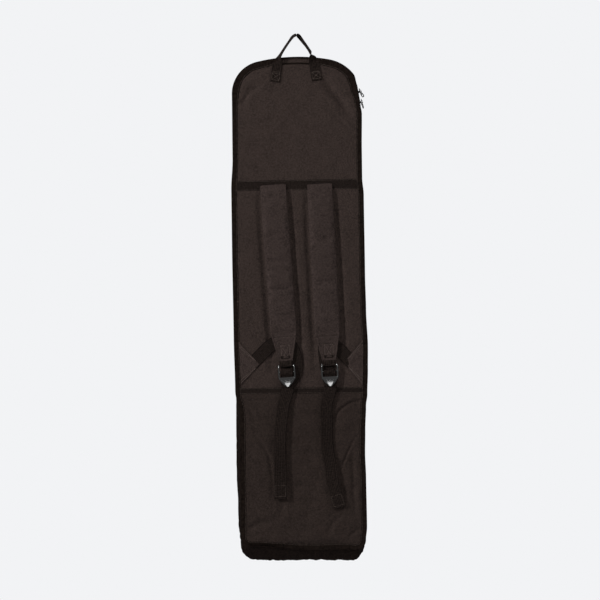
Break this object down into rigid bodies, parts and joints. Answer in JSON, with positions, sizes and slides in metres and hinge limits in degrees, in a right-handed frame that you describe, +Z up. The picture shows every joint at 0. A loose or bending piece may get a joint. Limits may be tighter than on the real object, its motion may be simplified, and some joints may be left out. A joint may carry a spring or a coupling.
{
  "type": "snowboard bag",
  "caption": "Long hanging snowboard bag with a grab handle, two padded shoulder straps with ladder-lock buckles, and a zipped lid.",
  "frame": {"origin": "apex of the grab handle's loop, where a hook holds the bag", "axes": "+Z up along the bag, +Y from the back panel with the straps through the bag to the front panel, +X right as seen facing the straps"},
  "size_m": [0.3992, 0.1073, 1.569],
  "materials": {
    "cover_fabric": "matte",
    "lining_fabric": "satin",
    "foam": "matte",
    "webbing": "matte",
    "zip_tape": "matte",
    "zip_coil": "satin",
    "zip_metal": "satin",
    "buckle_plastic": "gloss"
  },
  "bodies": {
    "bag": {"back_panel_upper": "cover_fabric", "back_panel_middle": "cover_fabric", "back_panel_lower": "cover_fabric", "back_panel_foam": "foam", "back_panel_lining": "lining_fabric", "rear_gusset_top": "cover_fabric", "rear_gusset_bottom": "cover_fabric", "rear_gusset_left": "cover_fabric", "rear_gusset_right": "cover_fabric", "back_binding": "webbing", "upper_band": "webbing", "lower_band": "webbing", "rear_zip_tape": "zip_tape", "rear_zip_coil": "zip_coil", "left_handle_end": "webbing", "right_handle_end": "webbing", "left_anchor_tab": "cover_fabric", "right_anchor_tab": "cover_fabric", "left_anchor_webbing": "webbing", "right_anchor_webbing": "webbing"},
    "lid": {"front_panel_cover": "cover_fabric", "front_panel_foam": "foam", "front_panel_lining": "lining_fabric", "front_gusset_top": "cover_fabric", "front_gusset_bottom": "cover_fabric", "front_gusset_left": "cover_fabric", "front_gusset_right": "cover_fabric", "front_binding": "webbing", "front_zip_tape": "zip_tape", "front_zip_coil": "zip_coil"},
    "handle": {"handle_loop": "webbing"},
    "upper_slider": {"upper_slider": "zip_metal"},
    "upper_puller": {"upper_puller": "zip_metal"},
    "lower_slider": {"lower_slider": "zip_metal"},
    "lower_puller": {"lower_puller": "zip_metal"},
    "left_strap": {"left_pad_cover": "cover_fabric", "left_pad_foam": "foam", "left_end_tab": "cover_fabric", "left_buckle_loop": "webbing"},
    "left_buckle": {"left_ladder_lock": "buckle_plastic", "left_buckle_webbing": "webbing"},
    "left_tail": {"left_tail": "webbing"},
    "right_strap": {"right_pad_cover": "cover_fabric", "right_pad_foam": "foam", "right_end_tab": "cover_fabric", "right_buckle_loop": "webbing"},
    "right_buckle": {"right_ladder_lock": "buckle_plastic", "right_buckle_webbing": "webbing"},
    "right_tail": {"right_tail": "webbing"}
  },
  "joints": [
    {"name": "lid_open", "type": "hinge", "parent": "bag", "child": "lid", "pos_m": [-0.195, 0.065, -0.8], "axis": [0, 0, 1], "range_deg": [0, 180]},
    {"name": "handle_swing", "type": "hinge", "parent": "bag", "child": "handle", "pos_m": [0, -0.0023, -0.067], "axis": [1, 0, 0], "range_deg": [-38, 90]},
    {"name": "upper_zip", "type": "hinge", "parent": "bag", "child": "upper_slider", "pos_m": [0.0735, 0.065, -0.19471], "axis": [0, -1, 0], "range_deg": [0, 58]},
    {"name": "upper_puller_swing", "type": "hinge", "parent": "upper_slider", "child": "upper_puller", "pos_m": [0.19453, 0.065, -0.16386], "axis": [0, -1, 0], "range_deg": [-3, 150]},
    {"name": "lower_zip", "type": "slide", "parent": "bag", "child": "lower_slider", "axis": [0, 0, -1], "range_m": [0, 1.31]},
    {"name": "lower_puller_swing", "type": "hinge", "parent": "lower_slider", "child": "lower_puller", "pos_m": [0.1984, 0.065, -0.197], "axis": [0, -1, 0], "range_deg": [-3, 90]},
    {"name": "left_strap_swing", "type": "hinge", "parent": "bag", "child": "left_strap", "pos_m": [-0.076, -0.0017, -0.4477], "axis": [-0.9981, 0, -0.061], "range_deg": [0, 25]},
    {"name": "left_buckle_tilt", "type": "hinge", "parent": "left_strap", "child": "left_buckle", "pos_m": [-0.04297, -0.0085, -0.98769], "axis": [-0.9981, 0, -0.061], "range_deg": [0, 60]},
    {"name": "left_tail_swing", "type": "hinge", "parent": "left_buckle", "child": "left_tail", "pos_m": [-0.03905, -0.0067, -1.05177], "axis": [-0.9981, 0, -0.061], "range_deg": [0, 80]},
    {"name": "right_strap_swing", "type": "hinge", "parent": "bag", "child": "right_strap", "pos_m": [0.0634, -0.0017, -0.4465], "axis": [-0.9992, 0, -0.041], "range_deg": [0, 25]},
    {"name": "right_buckle_tilt", "type": "hinge", "parent": "right_strap", "child": "right_buckle", "pos_m": [0.08558, -0.0085, -0.98704], "axis": [-0.9992, 0, -0.041], "range_deg": [0, 60]},
    {"name": "right_tail_swing", "type": "hinge", "parent": "right_buckle", "child": "right_tail", "pos_m": [0.08822, -0.0067, -1.05119], "axis": [-0.9992, 0, -0.041], "range_deg": [0, 80]}
  ]
}
